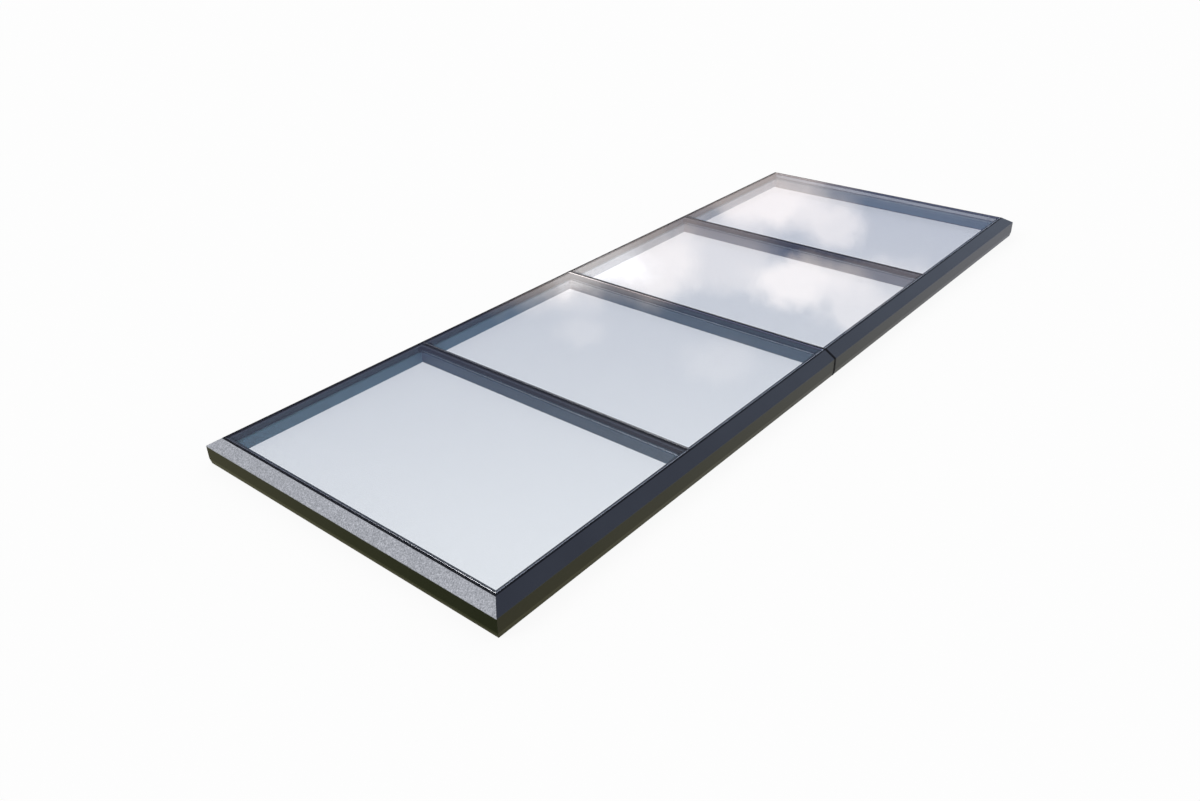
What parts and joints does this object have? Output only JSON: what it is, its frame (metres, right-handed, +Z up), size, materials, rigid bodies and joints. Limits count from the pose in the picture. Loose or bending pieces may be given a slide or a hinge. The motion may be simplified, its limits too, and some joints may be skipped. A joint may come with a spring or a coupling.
{
  "type": "flat roof skylight",
  "caption": "Long flat modular roof skylight with sloped metal cappings, sealed glazing units side by side and a drip skirt that sits over an upstand.",
  "frame": {"origin": "centre of the footprint, level with the foot of the drip skirt", "axes": "+X across the skylight, +Y along it towards the rear end, +Z up through the glass"},
  "size_m": [1.538, 4.036, 0.11],
  "materials": {
    "frame_coating": "satin dark olive grey powder coat",
    "cap_coating": "satin slate blue grey powder coat",
    "pale_cap_coating": "pale grey speckled textured powder coat",
    "inner_coating": "satin blue grey powder coat",
    "outer_glass": "clear float glass, polished",
    "inner_glass": "clear float glass, polished",
    "spacer_bar": "dark grey warm edge spacer",
    "unit_sealant": "black edge sealant of a glazing unit",
    "glazing_tape": "black closed cell glazing tape",
    "weather_silicone": "black silicone, smooth",
    "gasket_rubber": "black moulded rubber",
    "seal_foam": "dark grey closed cell foam",
    "break_plastic": "black glass filled plastic",
    "block_plastic": "green moulded plastic",
    "cleat_aluminium": "mill finish aluminium",
    "fixing_steel": "zinc plated steel",
    "plug_plastic": "dark grey moulded plastic"
  },
  "bodies": {
    "root": {"front_end_outer": "frame_coating", "front_end_inner": "inner_coating", "front_end_cap": "pale_cap_coating", "rear_end_outer": "frame_coating", "rear_end_inner": "inner_coating", "rear_end_cap": "cap_coating", "left_front_outer": "frame_coating", "left_front_inner": "inner_coating", "left_front_cap": "cap_coating", "left_rear_outer": "frame_coating", "left_rear_inner": "inner_coating", "left_rear_cap": "cap_coating", "right_front_outer": "frame_coating", "right_front_inner": "inner_coating", "right_front_cap": "cap_coating", "right_rear_outer": "frame_coating", "right_rear_inner": "inner_coating", "right_rear_cap": "cap_coating", "front_thermal_breaks": "break_plastic", "front_seat_seal": "seal_foam", "front_glazing_bar": "inner_coating", "front_coupling_beam": "inner_coating", "front_edge_seal": "weather_silicone", "front_joint_seal": "weather_silicone", "rear_thermal_breaks": "break_plastic", "rear_seat_seal": "seal_foam", "rear_glazing_bar": "inner_coating", "rear_coupling_beam": "inner_coating", "rear_edge_seal": "weather_silicone", "rear_joint_seal": "weather_silicone", "outer_pane_1": "outer_glass", "inner_pane_1": "inner_glass", "spacer_1": "spacer_bar", "edge_sealant_1": "unit_sealant", "bed_tape_1": "glazing_tape", "outer_pane_2": "outer_glass", "inner_pane_2": "inner_glass", "spacer_2": "spacer_bar", "edge_sealant_2": "unit_sealant", "bed_tape_2": "glazing_tape", "outer_pane_3": "outer_glass", "inner_pane_3": "inner_glass", "spacer_3": "spacer_bar", "edge_sealant_3": "unit_sealant", "bed_tape_3": "glazing_tape", "outer_pane_4": "outer_glass", "inner_pane_4": "inner_glass", "spacer_4": "spacer_bar", "edge_sealant_4": "unit_sealant", "bed_tape_4": "glazing_tape", "middle_joint_seal": "weather_silicone", "joint_end_plugs": "gasket_rubber", "joint_gasket": "gasket_rubber", "edge_blocks": "block_plastic", "corner_cleats": "cleat_aluminium", "bar_end_cleats": "cleat_aluminium", "cleat_screws": "fixing_steel", "coupling_bolts": "fixing_steel", "access_plugs": "plug_plastic"}
  },
  "joints": []
}
